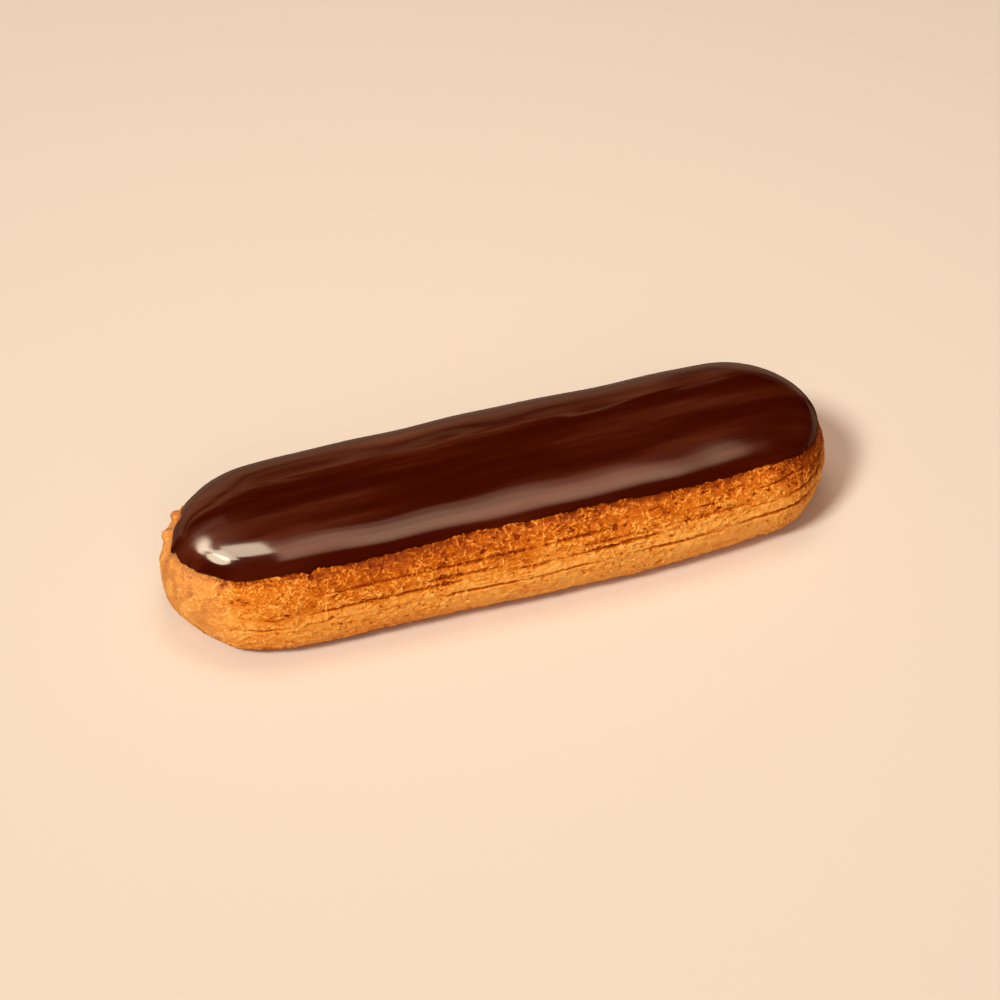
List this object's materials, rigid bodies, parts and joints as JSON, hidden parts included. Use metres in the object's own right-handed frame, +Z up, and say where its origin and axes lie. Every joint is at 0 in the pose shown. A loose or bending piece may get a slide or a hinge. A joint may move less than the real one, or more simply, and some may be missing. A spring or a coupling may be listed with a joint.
{
  "type": "chocolate eclair",
  "caption": "Whole chocolate eclair: a long baked choux bun with piped ridges and a coat of dark chocolate icing on top.",
  "frame": {"origin": "under the middle of the eclair's plan, on the surface it rests on", "axes": "+X along the eclair, towards the end with the darker crust; -Y towards the side that the picture shows; +Z up through the icing"},
  "size_m": [0.1402, 0.0462, 0.024],
  "materials": {
    "baked_choux": "baked golden-brown crust, dry and slightly satin, with paler raised strands and darker hollows",
    "chocolate_icing": "smooth, glossy, very dark brown chocolate icing"
  },
  "bodies": {
    "root": {"choux_bun": "baked_choux", "chocolate_icing": "chocolate_icing"}
  },
  "joints": []
}
